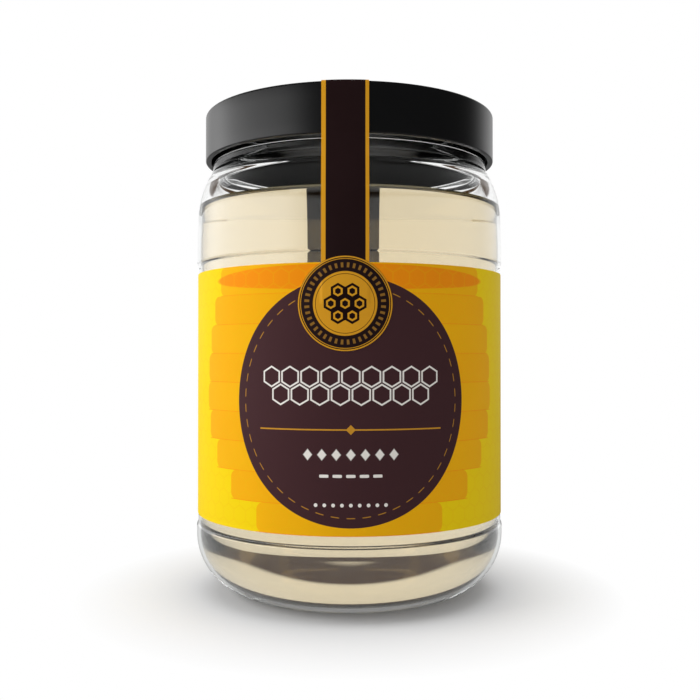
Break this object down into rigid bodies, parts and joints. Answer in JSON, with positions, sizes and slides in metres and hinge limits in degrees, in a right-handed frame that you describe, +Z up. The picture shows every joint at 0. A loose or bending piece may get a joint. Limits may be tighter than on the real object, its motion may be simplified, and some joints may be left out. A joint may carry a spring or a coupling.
{
  "type": "honey jar",
  "caption": "Round clear glass jar filled with pale honey, closed by a black screw lid, with a wrap label and a paper band and seal over the lid.",
  "frame": {"origin": "centre of the foot ring, on the table", "axes": "+Z up along the jar's axis, -Y towards the front, where the round seal is, +X to the viewer's right"},
  "size_m": [0.069, 0.0695, 0.1065],
  "materials": {
    "clear_glass": "clear polished",
    "honey": "clear pale gold liquid",
    "black_lid": "satin",
    "label_paper": "coated print",
    "band_paper": "matt print with gold edges",
    "seal_paper": "matt print"
  },
  "bodies": {
    "root": {"glass_jar": "clear_glass", "honey": "honey", "lid": "black_lid", "wrap_label": "label_paper", "seal_strip": "band_paper", "round_seal": "seal_paper"}
  },
  "joints": []
}
